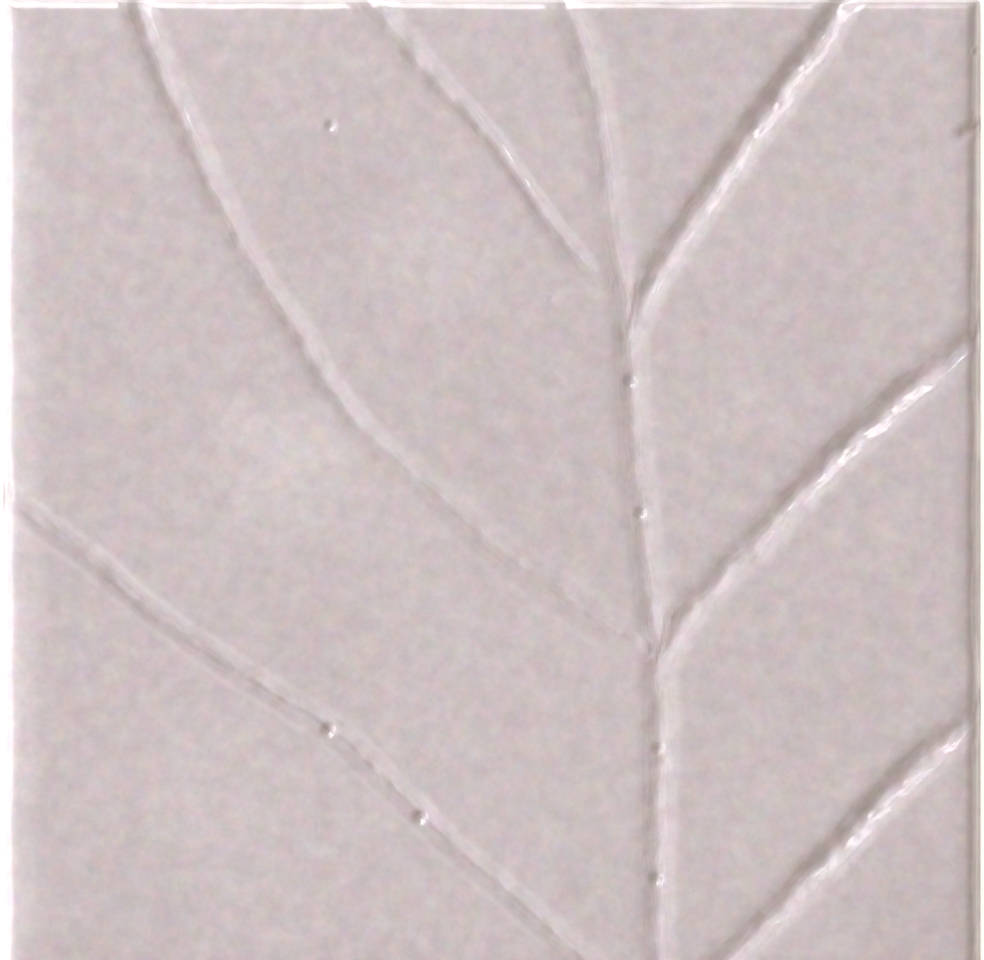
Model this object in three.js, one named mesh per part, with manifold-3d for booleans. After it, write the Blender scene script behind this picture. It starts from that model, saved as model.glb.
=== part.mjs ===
// A square ceramic wall tile with a glossy glazed face. Leaf veins are scribed into the face
// with a round-nosed tool: one midrib and the side veins that branch from it, most of them
// running off the tile's edges. The back is unglazed, with shallow keying grooves that the
// adhesive grips. The whole tile is one fired piece.
//
// Millimetres. The origin is the centre of the back, +Z points out of the glazed face and +Y
// towards the tile's upper edge.
import * as THREE from "three";
import { mergeVertices } from "three/addons/utils/BufferGeometryUtils.js";
import Module from "manifold-3d";

// The tile's body.
const side = 100; // the square's edge length
const thickness = 9; // from the back to the glazed face
const cornerRadius = 0.8; // the upright corners, seen from above
const arrisRadius = 1.6; // the rounded edge of the glazed face
const backBevel = 0.6; // the small bevel round the back
const sharpestCorner = 0.2; // the least corner radius that the rounding leaves

// The scribed veins.
const noseRadius = 2.8; // the round-nosed tool that scribed them
const scribeDepth = 1.05; // how deep it went where it was pressed hardest
// Each point is how far right and up from the tile's centre, in hundredths of its side, and how
// hard the tool was pressed there, from 0 to 1.
const veins = {
  midrib: [
    [6.5, 52, 0.4], [9.4, 44.3, 0.4], [11.2, 35.6, 0.36], [12.2, 26.4, 0.31], [13.8, 17.6, 0.45],
    [14.1, 11, 0.47], [14.7, 2.1, 0.4], [15.6, -6.5, 0.4], [16.6, -15.5, 0.44],
    [17.1, -23.8, 0.49], [17, -32, 0.53], [16.7, -39, 0.49], [17.2, -52, 0.4],
  ],
  upper_left: [
    [-14.3, 52.2, 0.57], [-9.2, 45.4, 0.53], [-5.5, 41.2, 0.53], [0, 35.5, 0.57], [4, 29.7, 0.58],
    [7.1, 25.3, 0.53], [11, 21.2, 0.08],
  ],
  middle_left: [
    [-37.1, 52, 0.69], [-34.1, 43.5, 0.65], [-30.9, 35.6, 0.53], [-28, 29.6, 0.47],
    [-24.3, 22.6, 0.36], [-19.3, 15.1, 0.58], [-16.5, 10.2, 0.5], [-12, 4.8, 0.37],
    [-5.8, -0.7, 0.31], [0.4, -6.1, 0.32], [6.8, -10.9, 0.36], [12.1, -14.3, 0.36],
    [16, -16.4, 0.29],
  ],
  lower_left: [
    [-52.9, 1.6, 0.24], [-46.4, -3.2, 0.34], [-40.4, -7.6, 0.37], [-34.7, -12.5, 0.4],
    [-27, -18, 0.4], [-16.4, -24.8, 0.36], [-10, -30.6, 0.36], [-4.2, -36.3, 0.39],
    [2.5, -42, 0.39], [8.4, -47.3, 0.37], [13.9, -52.4, 0.36],
  ],
  upper_right: [
    [37.2, 52, 0.93], [32.6, 44.6, 0.97], [27.6, 37.8, 0.97], [23, 31.2, 0.83],
    [18.4, 24.5, 0.74], [15.8, 19.7, 0.65], [14.2, 15, 0.4],
  ],
  middle_right: [
    [52.3, 17.8, 0.65], [46, 12.9, 0.69], [39.9, 7.7, 0.93], [34.1, 2.3, 0.91],
    [28.4, -3.8, 0.61], [22.8, -9.7, 0.53], [19.4, -13.7, 0.5], [16.7, -18.8, 0.4],
  ],
  lower_right: [
    [52.2, -20.3, 0.81], [44.8, -26.9, 0.81], [38.9, -32.6, 0.99], [33.5, -38.5, 0.81],
    [27.8, -44.5, 0.69], [23.5, -48.7, 0.65], [20.2, -52, 0.61],
  ],
  // Only the very tip of this one crosses the tile, at the right-hand edge.
  edge_tip: [[47.8, 36, 0.04], [48.8, 36.6, 0.28], [52, 38.3, 0.4]],
};

// The keying grooves in the back.
const keyRim = 6; // the plain border kept round them
const keyWidth = 5;
const keyPitch = 11;
const keyDepth = 0.8;

// How finely curves are faceted.
const cornerSegments = 4; // on each upright corner
const arrisSegments = 5; // on the quarter round of the arris
const noseSegments = 6; // across the scribed groove
const scribeStep = 2.5; // along it
const keyEndSegments = 3; // on each quarter of a keying groove's round end
const overcut = 0.6; // how far each cutter stands out of the face it cuts

const wasm = await Module();
wasm.setup();

// A closed three.js geometry as a manifold-3d solid.
function solidFrom(geometry) {
  const bare = geometry.clone().deleteAttribute("normal").deleteAttribute("uv");
  const merged = mergeVertices(bare, 1e-4);
  return new wasm.Manifold(
    new wasm.Mesh({
      numProp: 3,
      vertProperties: merged.attributes.position.array,
      triVerts: new Uint32Array(merged.index.array),
    }),
  );
}

// A manifold-3d solid as a three.js geometry with flat faces.
function geometryFrom(solid) {
  const { vertProperties, triVerts } = solid.getMesh();
  const indexed = new THREE.BufferGeometry()
    .setAttribute("position", new THREE.BufferAttribute(vertProperties, 3))
    .setIndex(new THREE.BufferAttribute(triVerts, 1));
  const geometry = indexed.toNonIndexed();
  geometry.computeVertexNormals();
  return geometry;
}

// A closed skin through rings of points, all with the same number of points and convex. Each
// ring runs anticlockwise, seen from the side that the rings advance towards.
function skin(rings) {
  const count = rings[0].length;
  const positions = rings.flat().flatMap((point) => point.toArray());
  const faces = [];
  for (let ring = 0; ring + 1 < rings.length; ring++) {
    for (let i = 0; i < count; i++) {
      const next = (i + 1) % count;
      const [a, b] = [ring * count + i, ring * count + next];
      const [c, d] = [a + count, b + count];
      faces.push(a, b, d, a, d, c);
    }
  }
  const last = (rings.length - 1) * count;
  for (let i = 1; i + 1 < count; i++) {
    faces.push(0, i + 1, i);
    faces.push(last, last + i, last + i + 1);
  }
  return new THREE.BufferGeometry()
    .setAttribute("position", new THREE.Float32BufferAttribute(positions, 3))
    .setIndex(faces);
}

// One level ring of the body: the tile's outline moved inwards by inset, at height z.
function outlineRing(inset, z) {
  const half = side / 2 - inset;
  const radius = Math.max(cornerRadius - inset, sharpestCorner);
  const ring = [];
  for (let corner = 0; corner < 4; corner++) {
    const centre = new THREE.Vector2(half - radius, half - radius);
    for (let i = 0; i <= cornerSegments; i++) {
      const angle = (Math.PI / 2) * (i / cornerSegments);
      const point = centre.clone();
      point.x += radius * Math.cos(angle);
      point.y += radius * Math.sin(angle);
      point.rotateAround(new THREE.Vector2(), (corner * Math.PI) / 2);
      ring.push(new THREE.Vector3(point.x, point.y, z));
    }
  }
  return ring;
}

// The plain slab: bevelled back, upright sides and a face with a rounded arris.
function slab() {
  const rings = [outlineRing(backBevel, 0), outlineRing(0, backBevel)];
  for (let i = 0; i <= arrisSegments; i++) {
    const angle = (Math.PI / 2) * (i / arrisSegments);
    const inset = arrisRadius * (1 - Math.cos(angle));
    rings.push(outlineRing(inset, thickness - arrisRadius * (1 - Math.sin(angle))));
  }
  return solidFrom(skin(rings));
}

// The tool's section at one point of a vein, across the way it travels: the round nose up to the
// face, then straight up.
function toolSection(at, along) {
  const across = new THREE.Vector3(along.y, -along.x, 0).normalize();
  const lipAngle = Math.acos(Math.max(0, 1 + at.z / noseRadius));
  const place = (sideways, z) => across.clone().multiplyScalar(sideways).add(at).setZ(z);
  const section = [];
  for (let i = 0; i <= noseSegments; i++) {
    const angle = lipAngle * (1 - (2 * i) / noseSegments);
    const rise = noseRadius * (1 - Math.cos(angle));
    section.push(place(noseRadius * Math.sin(angle), thickness + at.z + rise));
  }
  const lip = noseRadius * Math.sin(lipAngle);
  section.push(place(-lip, thickness + overcut), place(lip, thickness + overcut));
  return section;
}

// The cutter of one scribed vein: the tool drawn along it, sinking as it is pressed harder.
function scribe(points) {
  const place = ([x, y, pressure]) =>
    new THREE.Vector3((x * side) / 100, (y * side) / 100, -pressure * scribeDepth);
  const path = new THREE.CatmullRomCurve3(points.map(place), false, "catmullrom");
  const steps = Math.max(2, Math.ceil(path.getLength() / scribeStep));
  const sections = [];
  for (let step = 0; step <= steps; step++) {
    sections.push(toolSection(path.getPointAt(step / steps), path.getTangentAt(step / steps)));
  }
  return solidFrom(skin(sections));
}

// The cutter of one keying groove, centred at x: a slot with round ends.
function keyCutter(x) {
  const half = keyWidth / 2;
  const reach = side / 2 - keyRim - half; // to the centre of each round end
  const slot = new THREE.Shape()
    .absarc(x, reach, half, 0, Math.PI, false)
    .absarc(x, -reach, half, Math.PI, 2 * Math.PI, false);
  const geometry = new THREE.ExtrudeGeometry(slot, {
    depth: keyDepth + overcut,
    bevelEnabled: false,
    curveSegments: 2 * keyEndSegments,
  });
  return solidFrom(geometry.translate(0, 0, -overcut));
}

// The keying grooves stand in pairs, left and right of a land along the middle of the back.
function keyCutters() {
  const room = side / 2 - keyRim - keyWidth / 2;
  const cutters = [];
  for (let x = keyPitch / 2; x <= room; x += keyPitch) cutters.push(keyCutter(x), keyCutter(-x));
  return cutters;
}

function tileSolid() {
  const scribes = Object.values(veins).map(scribe);
  return [...scribes, ...keyCutters()].reduce((body, cutter) => body.subtract(cutter), slab());
}

// The glaze is a thin coat fired onto the clay, so it shares the tile's one material here.
const glazedClay = new THREE.MeshStandardMaterial({
  color: new THREE.Color().setRGB(0.8, 0.757, 0.757, THREE.SRGBColorSpace),
  roughness: 0.15,
  metalness: 0,
});

const tile = new THREE.Mesh(geometryFrom(tileSolid()), glazedClay);
tile.name = "tile";

const part = new THREE.Group();
part.add(tile);

export default part;
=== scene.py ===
# A square wall tile with a glossy glazed face and leaf veins scribed into it, made around its
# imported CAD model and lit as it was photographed. Metres, with +Z out of the glazed face.
import math

import bmesh
import bpy
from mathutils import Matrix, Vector
from mathutils.kdtree import KDTree


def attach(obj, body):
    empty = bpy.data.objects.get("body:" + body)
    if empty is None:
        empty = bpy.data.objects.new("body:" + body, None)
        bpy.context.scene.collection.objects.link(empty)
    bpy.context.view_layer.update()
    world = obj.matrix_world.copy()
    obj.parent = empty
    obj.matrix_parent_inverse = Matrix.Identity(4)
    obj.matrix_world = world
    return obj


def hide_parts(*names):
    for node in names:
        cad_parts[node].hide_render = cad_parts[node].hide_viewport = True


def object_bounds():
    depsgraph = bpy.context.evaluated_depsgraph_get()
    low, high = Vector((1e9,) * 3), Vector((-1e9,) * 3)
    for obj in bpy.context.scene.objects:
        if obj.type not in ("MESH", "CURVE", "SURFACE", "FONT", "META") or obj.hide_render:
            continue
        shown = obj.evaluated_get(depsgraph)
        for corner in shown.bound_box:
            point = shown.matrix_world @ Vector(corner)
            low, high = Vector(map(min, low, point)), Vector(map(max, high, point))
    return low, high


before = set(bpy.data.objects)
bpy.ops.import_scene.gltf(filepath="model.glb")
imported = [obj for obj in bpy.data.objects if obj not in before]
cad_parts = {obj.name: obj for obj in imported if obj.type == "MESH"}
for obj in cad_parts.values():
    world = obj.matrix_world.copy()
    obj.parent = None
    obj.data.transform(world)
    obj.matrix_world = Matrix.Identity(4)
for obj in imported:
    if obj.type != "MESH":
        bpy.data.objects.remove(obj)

MM = 0.001
cad_low, cad_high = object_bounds()
side = cad_high.x - cad_low.x
face_height = cad_high.z

# The camera. It looks straight down on the glazed face, which fills the photograph from edge
# to edge, from far enough away that the tile's sides don't show.
photo_width, photo_height = 984, 960  # pixels
tile_width_in_photo = 981.5  # pixels
tile_centre_in_photo = (491.5, 487.5)  # pixels, from the photograph's upper left corner
camera_distance = 1.0

pixel = side / tile_width_in_photo
camera = bpy.data.objects.new("camera", bpy.data.cameras.new("camera"))
bpy.context.scene.collection.objects.link(camera)
bpy.context.scene.camera = camera
camera.location = (
    (photo_width / 2 - tile_centre_in_photo[0]) * pixel,
    (tile_centre_in_photo[1] - photo_height / 2) * pixel,
    face_height + camera_distance,
)
camera.data.lens = camera.data.sensor_width * camera_distance / (photo_width * pixel)
camera.data.clip_end = 100


# The pressed clay. One slab of fired earthenware with upright sides, rounded upright corners
# and a rounded arris. It starts as a box of square cells that are halved where detail comes:
# along the veins, the edges and the rims of the keying grooves.
corner_radius = 0.8 * MM
corner_reach = 2.0 * MM  # how far from a corner its rounding shifts the cells
arris_radius = 1.6 * MM
back_bevel = 0.6 * MM
cell = 1.0 * MM
detail_beside_vein = 1.5 * MM
detail_beside_edge = 1.9 * MM
detail_beside_key = 0.5 * MM
easing = 1.3 * MM  # how much further the half-size cells reach than the quarter-size ones
corner_fade = 1.5 * arris_radius  # how far in from the edges the corners' rounding ends
beside_flat = cell / 10  # a point this near the face or the back counts as on it

# Each vein's points are how far right and up from the tile's centre, how hard the tool was
# pressed there, from 0 to 1, half the groove's width, and how pale its lips are, from 0 to 1.
# All lengths are in millimetres.
veins = {
    "midrib": [
        (6.5, 52, 0.4, 2, 0.1), (9.4, 44.3, 0.4, 2, 0.1), (11.2, 35.6, 0.36, 2, 0.1),
        (12.2, 26.4, 0.31, 2, 0.1), (13.8, 17.6, 0.45, 2, 0.1), (14.1, 11, 0.47, 2, 0.1),
        (14.7, 2.1, 0.4, 2, 0.1), (15.6, -6.5, 0.4, 2, 0.1), (16.6, -15.5, 0.44, 2, 0.1),
        (17.1, -23.8, 0.49, 2, 0.1), (17, -32, 0.53, 2, 0.1), (16.7, -39, 0.49, 2, 0.1),
        (17.2, -52, 0.4, 2, 0.1),
    ],
    "upper_left": [
        (-14.3, 52.2, 0.57, 2, 0.1), (-9.2, 45.4, 0.53, 1.9, 0.1), (-5.5, 41.2, 0.53, 1.6, 0.1),
        (0, 35.5, 0.57, 1.25, 0.1), (4, 29.7, 0.58, 1.15, 0.1), (7.1, 25.3, 0.53, 1.25, 0.1),
        (11, 21.2, 0.08, 1.2, 0.1),
    ],
    "middle_left": [
        (-37.1, 52, 0.69, 1.9, 0.1), (-34.1, 43.5, 0.65, 1.8, 0.1), (-30.9, 35.6, 0.53, 1.75, 0.1),
        (-28, 29.6, 0.47, 1.7, 0.1), (-24.3, 22.6, 0.36, 1.65, 0.1), (-19.3, 15.1, 0.58, 1.7, 0.1),
        (-16.5, 10.2, 0.5, 1.6, 0.1), (-12, 4.8, 0.37, 1.6, 0.1), (-5.8, -0.7, 0.31, 1.8, 0.5),
        (0.4, -6.1, 0.32, 2, 0.7), (6.8, -10.9, 0.36, 2.1, 0.7), (12.1, -14.3, 0.36, 2.1, 0.7),
        (16, -16.4, 0.29, 2, 0.5),
    ],
    "lower_left": [
        (-52.9, 1.6, 0.24, 1.5, 0.8), (-46.4, -3.2, 0.34, 1.5, 0.9), (-40.4, -7.6, 0.37, 1.5, 1),
        (-34.7, -12.5, 0.4, 1.5, 1), (-27, -18, 0.4, 1.5, 1), (-16.4, -24.8, 0.36, 1.6, 1),
        (-10, -30.6, 0.36, 1.6, 0.8), (-4.2, -36.3, 0.39, 1.5, 0.8), (2.5, -42, 0.39, 1.5, 0.8),
        (8.4, -47.3, 0.37, 1.6, 0.8), (13.9, -52.4, 0.36, 1.6, 0.8),
    ],
    "upper_right": [
        (37.2, 52, 0.93, 2, 0.1), (32.6, 44.6, 0.97, 2, 0.1), (27.6, 37.8, 0.97, 2, 0.1),
        (23, 31.2, 0.83, 2, 0.1), (18.4, 24.5, 0.74, 1.9, 0.1), (15.8, 19.7, 0.65, 1.8, 0.1),
        (14.2, 15, 0.4, 1.7, 0.1),
    ],
    "middle_right": [
        (52.3, 17.8, 0.65, 2.2, 0.1), (46, 12.9, 0.69, 2.1, 0.1), (39.9, 7.7, 0.93, 2.1, 0.1),
        (34.1, 2.3, 0.91, 1.95, 0.1), (28.4, -3.8, 0.61, 2, 0.1), (22.8, -9.7, 0.53, 2, 0.1),
        (19.4, -13.7, 0.5, 2, 0.1), (16.7, -18.8, 0.4, 2, 0.1),
    ],
    "lower_right": [
        (52.2, -20.3, 0.81, 2.2, 0.1), (44.8, -26.9, 0.81, 2.2, 0.1), (38.9, -32.6, 0.99, 2.1, 0.1),
        (33.5, -38.5, 0.81, 2.1, 0.1), (27.8, -44.5, 0.69, 2.2, 0.1), (23.5, -48.7, 0.65, 2.2, 0.1),
        (20.2, -52, 0.61, 2.2, 0.1),
    ],
    "edge_tip": [
        (47.2, 35.7, 0.08, 0.8, 0.1), (48.3, 36.3, 0.61, 0.9, 0.1), (52, 38.3, 0.69, 0.9, 0.1),
    ],
}

# The glaze's pits: where a bubble burst or the tool stopped, how wide and how deep, in
# millimetres.
pits = [
    (-16.4, 36.9, 0.8, 0.44), (6.1, 19.2, 0.35, 0.14),
    (-16.6, -24.7, 1.05, 0.58), (-7.3, -33.6, 1, 0.54),
    (14.1, 10.8, 0.95, 0.5), (15.2, -2.6, 0.85, 0.45), (17, -26.6, 0.85, 0.45),
    (16.8, -39.9, 0.95, 0.52), (49.2, 44.5, 0.5, 0.34),
]

# The keying grooves in the back, in pairs on each side of a land along the middle.
key_rim = 6 * MM
key_width = 5 * MM
key_pitch = 11 * MM
key_depth = 0.8 * MM
key_draft = 0.5 * MM  # how far each wall leans out
key_end = side / 2 - key_rim - key_width / 2  # to the centre of a groove's round end
key_count = math.floor((key_end - key_pitch / 2) / key_pitch) + 1  # on each side of the land


def in_plan(point):
    """Where one of the listed points lies in the plane of the ornament."""
    return Vector((point[0], point[1], 0)) * MM


def vein_samples():
    """The pits, and points half a cell apart along every vein, for finding what lies near one."""
    spots = [in_plan(pit) for pit in pits]
    for points in veins.values():
        places = [in_plan(point) for point in points]
        for start, end in zip(places, places[1:]):
            steps = math.ceil((end - start).length / (cell / 2))
            spots += [start.lerp(end, step / steps) for step in range(steps)]
    tree = KDTree(len(spots))
    for index, spot in enumerate(spots):
        tree.insert(spot, index)
    tree.balance()
    return tree


def beside_key_rim(place):
    """How far a point of the back lies from the nearest rim of a keying groove."""
    nearest = min(key_count - 1, math.floor(abs(place.x) / key_pitch))
    across = abs(place.x) - (nearest + 0.5) * key_pitch
    along = max(abs(place.y) - key_end, 0)
    return abs(math.hypot(across, along) - key_width / 2)


def needs_detail(place, reach):
    """Whether a cell of the unrounded box lies where detail comes, or within reach of it."""
    beside_edge = side / 2 - max(abs(place.x), abs(place.y))
    if place.z < beside_flat:
        at_round_end = abs(place.y) > key_end - cell
        beside_rim = beside_key_rim(place) < detail_beside_key + reach / 2
        return beside_rim and (at_round_end or reach > 0) or beside_edge < reach / 2
    if place.z < face_height - beside_flat:
        return reach > 0
    beside_vein = vein_tree.find((place.x, place.y, 0))[2]
    return beside_edge < detail_beside_edge + reach or beside_vein < detail_beside_vein + reach


def gridded_box(slab):
    """Builds a closed box of square cells, with its corners where the slab's would be if it had
    no rounded edges."""
    counts = (round(side / cell), round(side / cell), round(face_height / cell) - 1)
    lattice = {}

    def corner(place):
        if place not in lattice:
            x, y, z = [place[axis] / counts[axis] for axis in range(3)]
            lattice[place] = slab.verts.new(((x - 0.5) * side, (y - 0.5) * side, z * face_height))
        return lattice[place]

    for axis in range(3):
        first, second = (axis + 1) % 3, (axis + 2) % 3
        for level in (0, counts[axis]):
            for a in range(counts[first]):
                for b in range(counts[second]):
                    ring = []
                    for step_a, step_b in ((0, 0), (1, 0), (1, 1), (0, 1)):
                        place = [level] * 3
                        place[first], place[second] = a + step_a, b + step_b
                        ring.append(corner(tuple(place)))
                    slab.faces.new(ring if level else ring[::-1])


def halve_cells(slab, reach):
    """Halves the cells that need detail."""
    faces = [f for f in slab.faces if needs_detail(f.calc_center_median(), reach)]
    edges = list({edge for face in faces for edge in face.edges})
    bmesh.ops.subdivide_edges(slab, edges=edges, cuts=1, use_grid_fill=True)


def quarter_round(inset, radius):
    """Where a flat strip beside an edge goes when it is bent into a quarter round: how far it
    ends up inside the outline and how far below the flat."""
    angle = (1 - min(inset / radius, 1)) * math.pi / 2
    if inset >= radius:
        return inset, 0
    return radius * (1 - math.sin(angle)), radius * (1 - math.cos(angle))


def corner_rounded(across, along, inset):
    """Where a point of a square ring goes when the ring is moved in by inset and its corners are
    rounded: across is how far the ring lies inside the box, along is how far the point lies from
    the ring's corner, and the result is how far in it ends up from the near and the far side."""
    radius = corner_radius * max(0, 1 - across / corner_fade)
    arc = radius * math.pi / 4
    if along >= corner_reach:
        return inset, across + along
    step = along / corner_reach * (arc + across + corner_reach - inset - radius)
    if step >= arc:
        return inset, inset + radius + step - arc
    angle = math.pi / 4 - step / radius
    return inset + radius * (1 - math.cos(angle)), inset + radius * (1 - math.sin(angle))


def rounded(place):
    """Moves a point of the box onto the slab with its rounded corners, arris and back edge."""
    across = side / 2 - max(abs(place.x), abs(place.y))
    if place.z > face_height - beside_flat:
        inset, drop = quarter_round(across, arris_radius)
        height = face_height - drop
    elif place.z < beside_flat:
        inset, height = quarter_round(across, back_bevel)
    else:
        inset = 0
        height = back_bevel + place.z / face_height * (face_height - arris_radius - back_bevel)
    near, far = corner_rounded(across, abs(abs(place.x) - abs(place.y)), inset)
    if abs(place.x) < abs(place.y):
        near, far = far, near
    x, y = side / 2 - near, side / 2 - far
    return Vector((math.copysign(x, place.x), math.copysign(y, place.y), height))


vein_tree = vein_samples()
slab = bmesh.new()
gridded_box(slab)
halve_cells(slab, easing)
halve_cells(slab, 0)
for vert in slab.verts:
    vert.co = rounded(vert.co)
blank = bpy.data.objects.new("blank", bpy.data.meshes.new("blank"))
bpy.context.scene.collection.objects.link(blank)
slab.to_mesh(blank.data)
slab.free()


# The scribed veins. A round-nosed tool was drawn through the soft clay by hand, so each groove
# wanders, trembles and digs in unevenly, and pushes up a low burr along its lips.
vein_depth = 1.05 * MM
deepening = 1.11  # how much deeper the veins are for having straighter walls than the tool cuts
straightness = 0.55  # of the walls, from 0 for a wave to 1 for a V
path_step = 0.15 * MM
wander_patch = 6 * MM
tremble_patch = 2.3 * MM
chatter_patch = 2.8 * MM
crumble_patch = 1.5 * MM
none_near = 9.0  # the distance from a vein, in its half widths, that counts as far away

# How much the hand shook on some of the veins, next to the others.
unsteadiness = {
    "midrib": 0.3, "upper_left": 0.7, "middle_left": 0.6, "lower_left": 0.5,
    "upper_right": 0.8, "middle_right": 1.25, "lower_right": 1.1,
}

# How large the face's and the edges' uneven patches are, how far in the edges' unevenness
# reaches, and how much more or less than the others some of the edges sag.
undulation_patch = 16 * MM
edge_patch = 9 * MM
edge_zone = 5 * MM
right_sag = 1.35
upper_sag = 0.5
left_widening = 1.5  # of the strip that sags


class Nodes:
    """A node tree under construction."""

    def __init__(self, tree):
        self.tree = tree

    def add(self, kind, inputs=(), **settings):
        """Adds a node with these settings, and links or sets its inputs."""
        node = self.tree.nodes.new(kind)
        for name, value in settings.items():
            setattr(node, name, value)
        for key, value in dict(inputs).items():
            self.feed(node.inputs[key], value)
        return node

    def feed(self, socket, value):
        """Links a node's first output or a socket to the socket, or sets it to a value."""
        if isinstance(value, bpy.types.Node):
            value = value.outputs[0]
        if isinstance(value, bpy.types.NodeSocket):
            self.tree.links.new(value, socket)
        elif socket.type == "VECTOR" and isinstance(value, float):
            socket.default_value = (value, value, value)
        else:
            socket.default_value = value

    def math(self, operation, *values):
        """An operation on numbers."""
        return self.add("ShaderNodeMath", enumerate(values), operation=operation).outputs[0]

    def product(self, result, *others):
        """The product of two or more numbers."""
        for value in others:
            result = self.math("MULTIPLY", result, value)
        return result

    def between(self, factor, low, high):
        """A number that goes from low to high as the factor goes from 0 to 1."""
        return self.add("ShaderNodeMix", {0: factor, 2: low, 3: high})

    def vector(self, operation, *values):
        """An operation on vectors that gives a vector."""
        return self.add("ShaderNodeVectorMath", enumerate(values), operation=operation).outputs[0]

    def measure(self, operation, *values):
        """An operation on vectors that gives a number."""
        node = self.add("ShaderNodeVectorMath", enumerate(values), operation=operation)
        return node.outputs["Value"]

    def outermost(self, x, y):
        """How far out a place lies, toward the nearest edge of the tile."""
        return self.math("MAXIMUM", self.math("ABSOLUTE", x), self.math("ABSOLUTE", y))

    def ramp(self, value, start, end, low=0.0, high=1.0):
        """A smooth step from low to high as the value goes from start to end."""
        limits = {"Value": value, "From Min": start, "From Max": end, "To Min": low, "To Max": high}
        return self.add("ShaderNodeMapRange", limits, interpolation_type="SMOOTHSTEP").outputs[0]

    def noise(self, place, size, seed, detail=2.0, fineness=0.5):
        """A noise node whose patches are about this size, with finer ones in them. Each seed reads
        another place."""
        far_off = self.vector("MULTIPLY_ADD", seed, (0.37, 0.23, 0.41), place)
        inputs = {"Vector": far_off, "Scale": 1 / size, "Detail": detail, "Roughness": fineness}
        return self.add("ShaderNodeTexNoise", inputs, noise_dimensions="3D")

    def signed(self, noise, amount):
        """A noise value, from 0 to 1, as one from minus the amount to the amount."""
        centred = self.math("SUBTRACT", noise, 0.5)
        return self.math("MULTIPLY", centred, self.math("MULTIPLY", amount, 2.0))

    def written(self, name):
        """A number that a geometry's points carry."""
        return self.add("GeometryNodeInputNamedAttribute", {"Name": name}, data_type="FLOAT")

    def at_point(self, geometry, index, value, data_type="FLOAT"):
        """What a value is at one of a geometry's points."""
        inputs = {"Geometry": geometry, "Value": value, "Index": index}
        return self.add("GeometryNodeSampleIndex", inputs, data_type=data_type)


def group_input(nodes, name, kind, default=None):
    """Adds a named input to a node group and returns where the group reads it."""
    socket = nodes.tree.interface.new_socket(name, in_out="INPUT", socket_type=kind)
    if default is not None:
        socket.default_value = default
    return nodes.add("NodeGroupInput").outputs[name]


def group_output(nodes, outputs):
    """Ends a node group with named outputs, each given as (kind, value)."""
    for name, (kind, value) in outputs.items():
        nodes.tree.interface.new_socket(name, in_out="OUTPUT", socket_type=kind)
    nodes.add("NodeGroupOutput", {name: value for name, (kind, value) in outputs.items()})


def scribed_vein_group():
    """A node group: how deep one vein's groove is at a place, how high its burr, how pale its
    lips, and where the place lies beside the vein, in the groove's half widths and in metres."""
    nodes = Nodes(bpy.data.node_groups.new("scribed vein", "GeometryNodeTree"))
    path = group_input(nodes, "Path", "NodeSocketObject")
    place = group_input(nodes, "Place", "NodeSocketVector")
    line = nodes.add("GeometryNodeObjectInfo", {"Object": path}).outputs["Geometry"]
    line = nodes.add("GeometryNodeMeshToCurve", {"Mesh": line})
    line = nodes.add("GeometryNodeCurveSplineType", {"Curve": line}, spline_type="CATMULL_ROM")
    spacing = {"Curve": line, "Length": path_step}
    steps = nodes.add("GeometryNodeCurveToPoints", spacing, mode="LENGTH")
    nearest = nodes.add("GeometryNodeSampleNearest", {"Geometry": steps, "Sample Position": place})
    press = nodes.at_point(steps, nearest, nodes.written("press"))
    half_width = nodes.at_point(steps, nearest, nodes.written("half_width"))
    lip = nodes.at_point(steps, nearest, nodes.written("lip"))
    position = nodes.add("GeometryNodeInputPosition")
    centre = nodes.at_point(steps, nearest, position, "FLOAT_VECTOR")
    tangent = nodes.at_point(steps, nearest, steps.outputs["Tangent"], "FLOAT_VECTOR")
    aside = nodes.vector("SUBTRACT", place, centre)
    across = nodes.measure("DOT_PRODUCT", aside, nodes.vector("CROSS_PRODUCT", tangent, (0, 0, 1)))
    share = nodes.math("DIVIDE", nodes.measure("LENGTH", aside), half_width)
    within = nodes.math("MINIMUM", share, 1.0)
    wave = nodes.math("COSINE", nodes.math("MULTIPLY", within, math.pi))
    rounded_section = nodes.math("MULTIPLY_ADD", wave, 0.5, 0.5)
    straight_section = nodes.math("SUBTRACT", 1.0, within)
    section = nodes.between(straightness, rounded_section, straight_section)
    rise = nodes.ramp(share, 0.8, 1.0)
    fall = nodes.ramp(share, 1.0, 1.3, 1.0, 0.0)
    group_output(nodes, {
        "Depth": ("NodeSocketFloat", nodes.product(section, press)),
        "Burr": ("NodeSocketFloat", nodes.product(rise, fall, press)),
        "Share": ("NodeSocketFloat", share),
        "Lip": ("NodeSocketFloat", lip),
        "Across": ("NodeSocketFloat", across),
        "Along": ("NodeSocketFloat", nodes.product(nearest, path_step)),
    })
    return nodes.tree


def written_points(name, points, edges, numbers):
    """Listed points as an object's mesh, with edges between them and numbers for each."""
    mesh = bpy.data.meshes.new(name)
    mesh.from_pydata([in_plan(point) for point in points], edges, [])
    for attribute, values in numbers.items():
        mesh.attributes.new(attribute, "FLOAT", "POINT").data.foreach_set("value", values)
    holder = bpy.data.objects.new(name, mesh)
    bpy.context.scene.collection.objects.link(holder)
    return holder


def vein_path(name, points):
    """A vein's centre line, which carries its pressure, its width and its lips' paleness."""
    return written_points("path_" + name, points, [(i, i + 1) for i in range(len(points) - 1)], {
        "press": [point[2] for point in points],
        "half_width": [point[3] * MM for point in points],
        "lip": [point[4] for point in points],
    })


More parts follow.
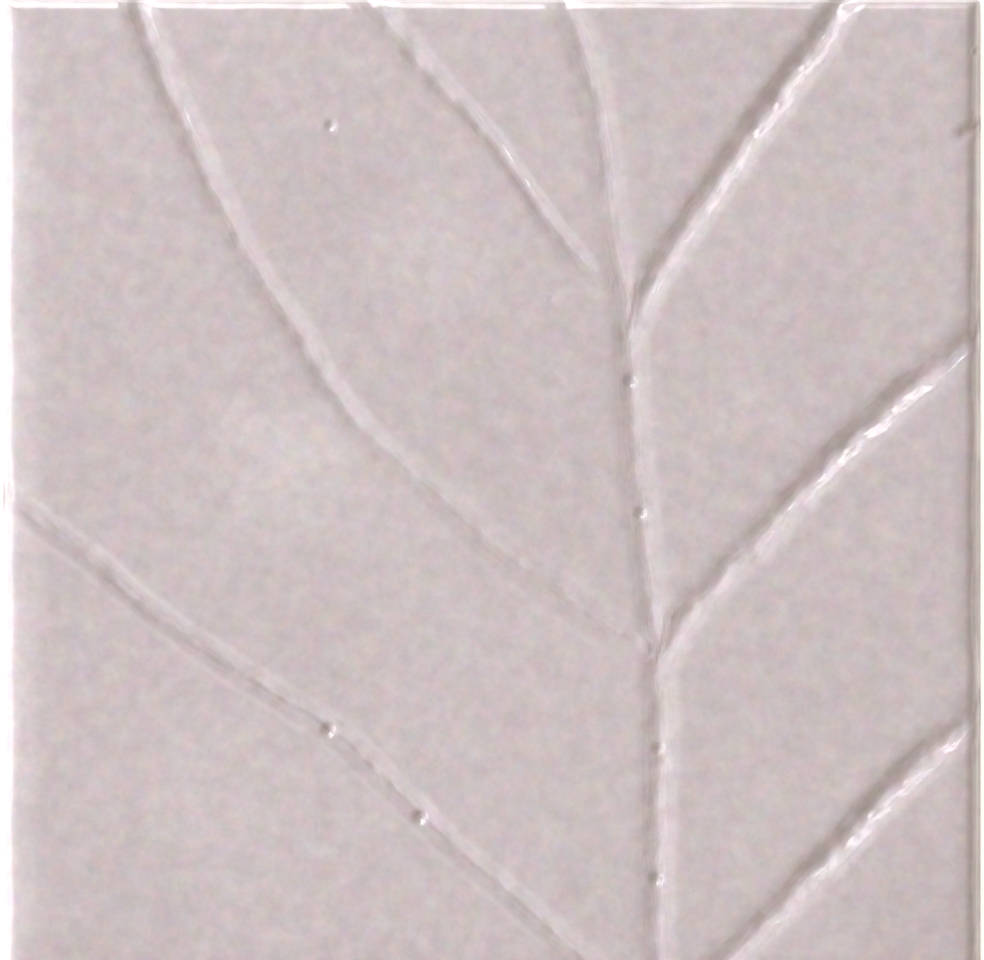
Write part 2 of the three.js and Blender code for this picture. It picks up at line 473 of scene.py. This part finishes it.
def pit_points():
    """The pits' centres, as loose points that carry their sizes."""
    return written_points("pits", pits, [], {
        "pit_radius": [pit[2] * MM for pit in pits],
        "pit_depth": [pit[3] * MM for pit in pits],
    })


def pit_depth_at(nodes, points, place):
    """How deep the nearest pit is at a place."""
    cloud = nodes.add("GeometryNodeObjectInfo", {"Object": points}).outputs["Geometry"]
    nearest = nodes.add("GeometryNodeSampleNearest", {"Geometry": cloud, "Sample Position": place})
    position = nodes.add("GeometryNodeInputPosition")
    centre = nodes.at_point(cloud, nearest, position, "FLOAT_VECTOR")
    radius = nodes.at_point(cloud, nearest, nodes.written("pit_radius"))
    depth = nodes.at_point(cloud, nearest, nodes.written("pit_depth"))
    distance = nodes.measure("DISTANCE", place, centre)
    hollow = nodes.ramp(nodes.math("DIVIDE", distance, radius), 0.0, 1.0, 1.0, 0.0)
    return nodes.product(hollow, depth)


def finished_tile_tree(material):
    """The node tree that scribes the veins, cuts the keying grooves, lets the clay's edges and
    face wander as handmade ones do, and coats the face and the upper sides with glaze."""
    nodes = Nodes(bpy.data.node_groups.new("finished tile", "GeometryNodeTree"))
    geometry = group_input(nodes, "Geometry", "NodeSocketGeometry")
    sizes = {
        "Vein Depth": deepening * vein_depth,
        "Burr Height": 0.1 * MM,
        "Wander": 0.22 * MM,
        "Tremble": 0.34 * MM,
        "Chatter": 0.7,
        "Undulation": 0.1 * MM,
        "Face Sink": 0.1 * MM,
        "Edge Sag": 0.58 * MM,
        "Edge Sag Width": 3.2 * MM,
        "Edge Wave": 0.08 * MM,
        "Glaze Line": 2.6 * MM,
        "Glaze Run": 1.4 * MM,
        "Glaze Thickness": 0.16 * MM,
        "Seed": 4.0,
    }
    size = {}
    for name, value in sizes.items():
        size[name] = group_input(nodes, name, "NodeSocketFloat", value)
    pit_object = group_input(nodes, "Pits", "NodeSocketObject")
    seed = size["Seed"]
    position = nodes.add("GeometryNodeInputPosition").outputs[0]
    x, y, z = nodes.add("ShaderNodeSeparateXYZ", {0: position}).outputs
    plan = nodes.add("ShaderNodeCombineXYZ", {0: x, 1: y}).outputs[0]

    def drift(patch, amount, shift):
        """A sideways offset in the plane of the face, up to the amount each way."""
        colour = nodes.noise(plan, patch, nodes.math("ADD", seed, shift), 1.0).outputs["Color"]
        centred = nodes.vector("SUBTRACT", colour, (0.5, 0.5, 0.5))
        inputs = {0: centred, "Scale": nodes.product(amount, 2.0)}
        scaled = nodes.add("ShaderNodeVectorMath", inputs, operation="SCALE")
        return nodes.vector("MULTIPLY", scaled, (1, 1, 0))

    place = nodes.vector("ADD", plan, drift(wander_patch, size["Wander"], 1.0))
    tremor = drift(tremble_patch, size["Tremble"], 2.0)
    depth, burr, across, along, lip = 0.0, 0.0, 0.0, 0.0, 0.0
    share, next_share = none_near, none_near
    vein_group = scribed_vein_group()
    for name in veins:
        path = group_input(nodes, "Path " + name, "NodeSocketObject")
        tremor_share = (unsteadiness.get(name, 1.0),) * 3
        shaken = nodes.vector("MULTIPLY_ADD", tremor, tremor_share, place)
        vein = nodes.add("GeometryNodeGroup", node_tree=vein_group)
        nodes.feed(vein.inputs["Path"], path)
        nodes.feed(vein.inputs["Place"], shaken)
        closer = nodes.math("LESS_THAN", vein.outputs["Share"], share)
        across = nodes.between(closer, across, vein.outputs["Across"])
        along = nodes.between(closer, along, vein.outputs["Along"])
        lip = nodes.between(closer, lip, vein.outputs["Lip"])
        farther = nodes.math("MAXIMUM", vein.outputs["Share"], share)
        next_share = nodes.math("MINIMUM", next_share, farther)
        share = nodes.math("MINIMUM", vein.outputs["Share"], share)
        depth = nodes.math("MAXIMUM", vein.outputs["Depth"], depth)
        burr = nodes.math("MAXIMUM", vein.outputs["Burr"], burr)

    # The veins fade out over the arris. The burr is low, and crumbled away in places.
    chatter = nodes.noise(plan, chatter_patch, nodes.math("ADD", seed, 3.0), 1.0)
    chatter = nodes.signed(chatter, size["Chatter"])
    depth = nodes.product(depth, nodes.math("ADD", chatter, 1.0))
    drop = nodes.math("SUBTRACT", face_height, z)
    on_face = nodes.ramp(drop, 0.3 * MM, arris_radius, 1.0, 0.0)
    pool = nodes.product(depth, on_face)
    pool = nodes.add("GeometryNodeBlurAttribute", {"Value": pool, "Iterations": 2})
    crumble = nodes.noise(plan, crumble_patch, nodes.math("ADD", seed, 5.0))
    whole = nodes.ramp(crumble, 0.3, 0.7)
    outside_veins = nodes.ramp(pool, 0.0, 0.3, 1.0, 0.0)
    burr = nodes.product(burr, on_face, outside_veins, whole)
    burr = nodes.add("GeometryNodeBlurAttribute", {"Value": burr, "Iterations": 1})
    sink = nodes.product(pool, size["Vein Depth"])
    sink = nodes.math("SUBTRACT", sink, nodes.product(burr, size["Burr Height"]))
    normal = nodes.add("GeometryNodeInputNormal").outputs["Normal"]
    nx, ny, nz = nodes.add("ShaderNodeSeparateXYZ", {0: normal}).outputs
    faces_up = nodes.math("GREATER_THAN", nz, 0.1)
    faces_down = nodes.math("LESS_THAN", nz, -0.9)
    pit = nodes.product(pit_depth_at(nodes, pit_object, plan), faces_up)
    sink = nodes.math("ADD", sink, pit)

    # The keying grooves: the distance to the nearest groove's middle line, folded about the land.
    row = nodes.math("FLOOR", nodes.math("DIVIDE", nodes.math("ABSOLUTE", x), key_pitch))
    row = nodes.math("MINIMUM", row, key_count - 1)
    middle = nodes.product(nodes.math("ADD", row, 0.5), key_pitch)
    aside = nodes.math("SUBTRACT", nodes.math("ABSOLUTE", x), middle)
    beyond = nodes.math("MAXIMUM", nodes.math("SUBTRACT", nodes.math("ABSOLUTE", y), key_end), 0.0)
    off = nodes.measure("LENGTH", nodes.add("ShaderNodeCombineXYZ", {0: aside, 1: beyond}))
    key = nodes.ramp(off, key_width / 2 - key_draft, key_width / 2, key_depth, 0.0)
    key = nodes.product(key, faces_down)

    # The face's slow undulation always sinks, and the edges always draw in, so that the tile
    # stays inside the clay's own box.
    swell = nodes.product(nodes.noise(position, undulation_patch, seed), size["Undulation"])
    swell = nodes.product(nodes.math("ADD", swell, size["Face Sink"]), on_face)
    inside = nodes.math("SUBTRACT", side / 2, nodes.outermost(x, y))
    widened = nodes.ramp(x, -side / 2, -side / 4, left_widening, 1.0)
    sag_width = nodes.product(size["Edge Sag Width"], widened)
    close = nodes.math("SUBTRACT", 1.0, nodes.math("DIVIDE", inside, sag_width))
    close = nodes.math("POWER", nodes.math("MAXIMUM", close, 0.0), 2.0)
    wave = nodes.noise(plan, edge_patch, nodes.math("ADD", seed, 7.0))
    uneven = nodes.ramp(wave, 0.3, 0.7, 0.6, 1.4)
    right_side = nodes.ramp(x, side / 2 - edge_zone, side / 2, 1.0, right_sag)
    upper_side = nodes.ramp(y, side / 2 - edge_zone, side / 2, 1.0, upper_sag)
    sag = nodes.product(close, uneven, size["Edge Sag"], nodes.product(right_side, upper_side))
    swell = nodes.math("ADD", swell, nodes.product(sag, nodes.ramp(nz, 0.0, 0.8)))
    wave = nodes.product(wave, size["Edge Wave"])
    pulls = []
    for value in (x, y):
        near_edge = nodes.ramp(nodes.math("ABSOLUTE", value), side / 2 - edge_zone, side / 2)
        pulls.append(nodes.product(near_edge, wave, nodes.math("SIGN", value), -1.0))

    # The glaze runs down the sides to a wavy line and ends there in a thicker roll.
    line = nodes.noise(plan, edge_patch, nodes.math("ADD", seed, 9.0))
    line = nodes.signed(line, size["Glaze Run"])
    above = nodes.math("SUBTRACT", z, nodes.math("ADD", line, size["Glaze Line"]))
    coat = nodes.ramp(above, -0.2 * MM, 0.3 * MM)
    roll = nodes.product(coat, nodes.ramp(above, 0.3 * MM, 1.2 * MM, 1.0, 0.0))
    build_up = nodes.math("MULTIPLY_ADD", roll, 0.2, nodes.math("SUBTRACT", coat, 1.2))
    build_up = nodes.product(build_up, size["Glaze Thickness"])

    offset = nodes.add("ShaderNodeCombineXYZ", {
        0: nodes.math("ADD", pulls[0], nodes.product(nx, build_up)),
        1: nodes.math("ADD", pulls[1], nodes.product(ny, build_up)),
        2: nodes.math("SUBTRACT", key, nodes.math("ADD", sink, swell)),
    })
    apart = nodes.ramp(nodes.math("SUBTRACT", next_share, share), 0.0, 0.35)
    carried = {
        "pool": pool, "share": share, "apart": apart, "across_vein": across, "along_vein": along,
        "pale_lip": nodes.product(lip, on_face), "above_glaze_line": above,
    }
    for name, value in carried.items():
        stored = {"Geometry": geometry, "Name": name, "Value": value}
        geometry = nodes.add("GeometryNodeStoreNamedAttribute", stored)
    geometry = nodes.add("GeometryNodeSetPosition", {"Geometry": geometry, "Offset": offset})
    geometry = nodes.add("GeometryNodeSetShadeSmooth", {"Geometry": geometry})
    geometry = nodes.add("GeometryNodeRealizeInstances", {"Geometry": geometry})
    geometry = nodes.add("GeometryNodeSetMaterial", {"Geometry": geometry, "Material": material})
    group_output(nodes, {"Geometry": ("NodeSocketGeometry", geometry)})
    return nodes.tree


# Where the glaze is noticeably thinner and paler, or thicker and darker: each patch's place and
# radius in millimetres, and how strong it is.
patches = [
    (-20.6, 3.7, 10, 0.5), (-6.2, 24.1, 10, 0.28), (24.7, 9.2, 9, 0.2), (-29.1, -31.7, 10, 0.14),
    (-2.2, 6.7, 8, -0.14), (-16.6, 30.1, 8, -0.14), (33.7, 17.1, 7, -0.1), (45.6, -45.6, 12, -0.2),
    (-38, -47, 14, -0.12),
]
thin_glaze = (0.74, 0.68, 0.67, 1)
thick_glaze = (0.45, 0.37, 0.38, 1)
scratch_meets = (26 * MM, 38 * MM)  # along a vein, where its two scratches run into one
scratch_parting = 0.45 * MM  # from the vein's middle to each of the two


def glazed_clay():
    """The tile's one material: a glossy pinkish-grey glaze over buff clay, which is bare on the
    back and below the glaze line."""
    material = bpy.data.materials.new("glazed_clay")
    material.use_nodes = True
    nodes = Nodes(material.node_tree)
    nodes.tree.nodes.clear()
    place = nodes.add("ShaderNodeTexCoord").outputs["Object"]

    def blend(factor, first, second):
        """A colour that goes from the first to the second as the factor goes from 0 to 1."""
        mix = nodes.add("ShaderNodeMix", data_type="RGBA")
        colours = [socket for socket in mix.inputs if socket.type == "RGBA"]
        nodes.feed(mix.inputs[0], factor)
        nodes.feed(colours[0], first)
        nodes.feed(colours[1], second)
        return [socket for socket in mix.outputs if socket.type == "RGBA"][0]

    def carried(name):
        """A number that the finished mesh carries."""
        return nodes.add("ShaderNodeAttribute", attribute_name=name).outputs["Fac"]

    share, pool, apart = carried("share"), carried("pool"), carried("apart")
    across, along, pale_lip = carried("across_vein"), carried("along_vein"), carried("pale_lip")
    ragged = nodes.signed(nodes.noise(place, 0.8 * MM, 1.0), 0.15 * MM)
    above = nodes.math("ADD", carried("above_glaze_line"), ragged)
    glazed = nodes.ramp(above, -0.05 * MM, 0.1 * MM)

    # The glaze's own colour: two close tints, the patches, and a fine mottle.
    cloud = nodes.noise(place, 22 * MM, 2.0)
    glaze = blend(nodes.ramp(cloud, 0.3, 0.7), (0.585, 0.51, 0.517, 1), (0.605, 0.53, 0.537, 1))
    strayed = nodes.noise(place, 9 * MM, 8.0).outputs["Color"]
    strayed = nodes.vector("SUBTRACT", strayed, (0.5, 0.5, 0.5))
    wandering = nodes.vector("MULTIPLY_ADD", strayed, (12 * MM, 12 * MM, 0), place)
    for right, up, radius, strength in patches:
        centre = Vector((right, up, face_height / MM)) * MM
        away = nodes.measure("DISTANCE", wandering, centre)
        near = nodes.ramp(away, 0.0, radius * MM, abs(strength), 0.0)
        glaze = blend(near, glaze, thin_glaze if strength > 0 else thick_glaze)
    turn = {"Vector": place, "Rotation": (0.5, 0.8, 0.4)}
    askew = nodes.add("ShaderNodeVectorRotate", turn, rotation_type="EULER_XYZ").outputs[0]
    tinted = (1.9 * MM, 3.0, "Color", 0.32)
    shaded = (1.8 * MM, 6.0, 0, 0.42)
    for mottle_size, seed, output, strength in (tinted, shaded):
        mottle = nodes.noise(askew, mottle_size, seed, 3.0, 0.7).outputs[output]
        mottle = nodes.vector("MULTIPLY_ADD", mottle, (strength,) * 3, (1 - strength / 2,) * 3)
        glaze = nodes.vector("MULTIPLY", glaze, mottle)

    # The shallow veins' lips are paler in patches, and they also carry the tool's scratch: two thin
    # dark lines with a darker band between them where it starts. Their darkness is partly glaze
    # pooled in the scratch and partly painted shade in it.
    inner = nodes.ramp(share, 0.7, 0.98)
    outer = nodes.ramp(share, 1.02, 1.4, 1.0, 0.0)
    paler_in_patches = nodes.ramp(nodes.noise(place, 1.6 * MM, 9.0), 0.3, 0.6, 0.1, 0.35)
    glaze = blend(nodes.product(inner, outer, pale_lip, paler_in_patches), glaze, (0.74, 0.68, 0.68, 1))
    from_middle = nodes.math("ABSOLUTE", across)
    marked = nodes.product(pale_lip, apart)
    parted = nodes.ramp(along, *scratch_meets, scratch_parting, 0.0)
    beside = nodes.math("ABSOLUTE", nodes.math("SUBTRACT", from_middle, parted))
    scratch = nodes.ramp(beside, 0.08 * MM, 0.4 * MM, 1.0, 0.0)
    broken = nodes.ramp(nodes.noise(place, 2.2 * MM, 11.0), 0.35, 0.6, 0.08, 0.26)
    scratch = nodes.product(scratch, marked, broken)
    between = nodes.ramp(from_middle, 0.6 * MM, 1.3 * MM, 0.13, 0.0)
    between = nodes.product(between, nodes.ramp(along, *scratch_meets, 1.0, 0.0), marked)
    glaze = blend(nodes.math("MAXIMUM", scratch, between), glaze, (0.3, 0.23, 0.22, 1))

    # The glaze is darker where it pools in the veins, which also paints in shade that deepens the
    # grooves' dark walls.
    # Just inside the right-hand arris a darker band is painted shade, where the arris falls away
    # from the light, and the arris's outer rim is paler, partly the glaze breaking thin over it and
    # partly a painted reflection of the pale floor.
    glaze = blend(nodes.product(pool, 0.17), glaze, (0.36, 0.29, 0.26, 1))
    x, y, z = nodes.add("ShaderNodeSeparateXYZ", {0: place}).outputs
    edge = side / 2
    # Painted shade: a darker band along the right-hand arris, which falls away from the light.
    painted_right_edge_shade = nodes.ramp(x, edge - 1.9 * MM, edge - 1.15 * MM, 0.0, 0.33)
    painted_right_edge_shade = nodes.product(painted_right_edge_shade, nodes.ramp(x, edge - 0.85 * MM, edge - 0.5 * MM, 1.0, 0.0))
    glaze = blend(painted_right_edge_shade, glaze, (0.3, 0.25, 0.23, 1))
    # Paler over the arris's outer rim: partly the glaze breaking thin, partly a painted reflection
    # of the pale floor.
    arris_break_and_painted_reflection = nodes.ramp(nodes.outermost(x, y), edge - 0.65 * MM, edge - 0.4 * MM, 0.0, 0.5)
    arris_break_and_painted_reflection = nodes.product(arris_break_and_painted_reflection, nodes.ramp(z, face_height - 2.6 * MM, face_height - 1.5 * MM))
    glaze = blend(arris_break_and_painted_reflection, glaze, (0.92, 0.88, 0.85, 1))

    # The clay's grain, and the finest relief: the glaze's ripple, the marks that the tool
    # dragged along the veins, and the bare clay's grit.
    grain = nodes.noise(place, 0.5 * MM, 4.0, 3.0)
    clay = blend(nodes.ramp(grain, 0.3, 0.7), (0.5, 0.4, 0.31, 1), (0.6, 0.5, 0.4, 1))

    def drawn_out(narrower, longer):
        """The place beside its vein, for marks drawn out along the vein."""
        inputs = {0: nodes.math("DIVIDE", across, narrower), 1: nodes.math("DIVIDE", along, longer)}
        return nodes.add("ShaderNodeCombineXYZ", inputs)

    peel = nodes.product(nodes.noise(place, 2.5 * MM, 5.0), 0.012 * MM)
    drag = nodes.noise(drawn_out(0.55, 5.0), 1.0 * MM, 7.0, 3.0)
    drag = nodes.product(drag, 0.06 * MM, apart)
    lumps = nodes.product(nodes.noise(drawn_out(1.0, 2.2), 0.9 * MM, 10.0), 0.08 * MM, apart)
    drag = nodes.product(nodes.math("ADD", drag, lumps), nodes.ramp(pool, 0.02, 0.3))
    bare = nodes.math("SUBTRACT", 1.0, glazed)
    grit = nodes.product(bare, nodes.product(grain, 0.12 * MM))
    height = nodes.math("ADD", nodes.math("ADD", peel, drag), grit)
    relief = nodes.add("ShaderNodeBump", {"Height": height, "Distance": 1.0})
    shader = nodes.add("ShaderNodeBsdfPrincipled", {
        "Base Color": blend(glazed, clay, glaze),
        "Roughness": nodes.ramp(glazed, 0.0, 1.0, 0.9, 0.2),
        "Normal": relief,
    })
    nodes.add("ShaderNodeOutputMaterial", {"Surface": shader})
    return material


finish = glazed_clay()
tree = finished_tile_tree(finish)
modifier = blank.modifiers.new("finished tile", "NODES")
modifier.node_group = tree
wanted = {"Path " + name: vein_path(name, points) for name, points in veins.items()}
wanted["Pits"] = pit_points()
for item in tree.interface.items_tree:
    if item.name in wanted:
        modifier[item.identifier] = wanted[item.name]
graph = bpy.context.evaluated_depsgraph_get()
mesh = bpy.data.meshes.new_from_object(
    blank.evaluated_get(graph), preserve_all_data_layers=True, depsgraph=graph
)
mesh.name = "tile_glazed"
tile = bpy.data.objects.new("tile_glazed", mesh)
bpy.context.scene.collection.objects.link(tile)
for helper in [blank, *wanted.values()]:
    bpy.data.objects.remove(helper)
print("tile triangles", sum(len(face.vertices) - 2 for face in mesh.polygons))
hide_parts("tile")
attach(tile, "root")


# The studio: a plain pale floor, open under the tile so that its back can be seen from below, a
# large soft light from the upper left, and white cards that the arris and the veins' walls mirror.
floor = bpy.data.objects.new("floor", bpy.data.meshes.new("floor"))
bpy.context.scene.collection.objects.link(floor)
floor_reach = 4.0
hole_reach = side / 2 - back_bevel / 2
floor_corners = []
for reach in (floor_reach, hole_reach):
    floor_corners += [(-reach, -reach, 0), (reach, -reach, 0), (reach, reach, 0), (-reach, reach, 0)]
floor_strips = [(i, (i + 1) % 4, (i + 1) % 4 + 4, i + 4) for i in range(4)]
floor.data.from_pydata(floor_corners, [], floor_strips)
floor_finish = bpy.data.materials.new("floor")
floor_finish.use_nodes = True
floor_shader = floor_finish.node_tree.nodes["Principled BSDF"]
floor_shader.inputs["Base Color"].default_value = (0.85, 0.85, 0.85, 1)
floor_shader.inputs["Roughness"].default_value = 0.9
floor_shader.inputs["Emission Color"].default_value = (1, 0.98, 0.94, 1)
floor_shader.inputs["Emission Strength"].default_value = 0.62
floor.data.materials.append(floor_finish)


def soft_light(name, place, width, height, brightness, colour=(1, 1, 1), mirrored=True):
    """A rectangular area light that faces the tile. It is either only seen mirrored, as the white
    cards are, or lights the tile up without being mirrored."""
    light = bpy.data.lights.new(name, "AREA")
    light.shape = "RECTANGLE"
    light.size, light.size_y = width, height
    light.energy = brightness * math.pi * width * height
    light.color = colour
    lamp = bpy.data.objects.new(name, light)
    lamp.location = place
    lamp.rotation_euler = (-Vector(place)).to_track_quat("-Z", "Y").to_euler()
    lamp.visible_camera = False
    lamp.visible_glossy = mirrored
    lamp.visible_diffuse = not mirrored
    bpy.context.scene.collection.objects.link(lamp)


soft_light("window", (-1.65, 0.68, 1.32), 1.7, 1.7, 5.0, (0.91, 0.98, 1.1), mirrored=False)
soft_light("left_card", (-1.6, 0.0, 0.43), 1.7, 0.84, 5.5)
soft_light("left_glow", (-1.0, 0.1, 1.24), 1.7, 1.7, 1.3)
soft_light("lower_left_glow", (-0.65, -0.97, 1.09), 0.72, 1.1, 1.1)
soft_light("lower_left_card", (-1.26, -0.82, 0.5), 0.5, 0.45, 6.5)
soft_light("upper_left_card", (-1.13, 1.05, 0.44), 0.74, 0.74, 5.5)
soft_light("upper_card", (-0.42, 1.5, 0.66), 1.03, 1.0, 10)
soft_light("right_card", (1.6, 0.0, 0.1), 0.9, 0.2, 2.5)
world = bpy.data.worlds.new("studio")
bpy.context.scene.world = world
world.use_nodes = True
backdrop = world.node_tree.nodes["Background"]
backdrop.inputs["Color"].default_value = (1.06, 0.97, 0.88, 1)
backdrop.inputs["Strength"].default_value = 0.56
bpy.context.scene.view_settings.view_transform = "Standard"

bpy.context.view_layer.update()
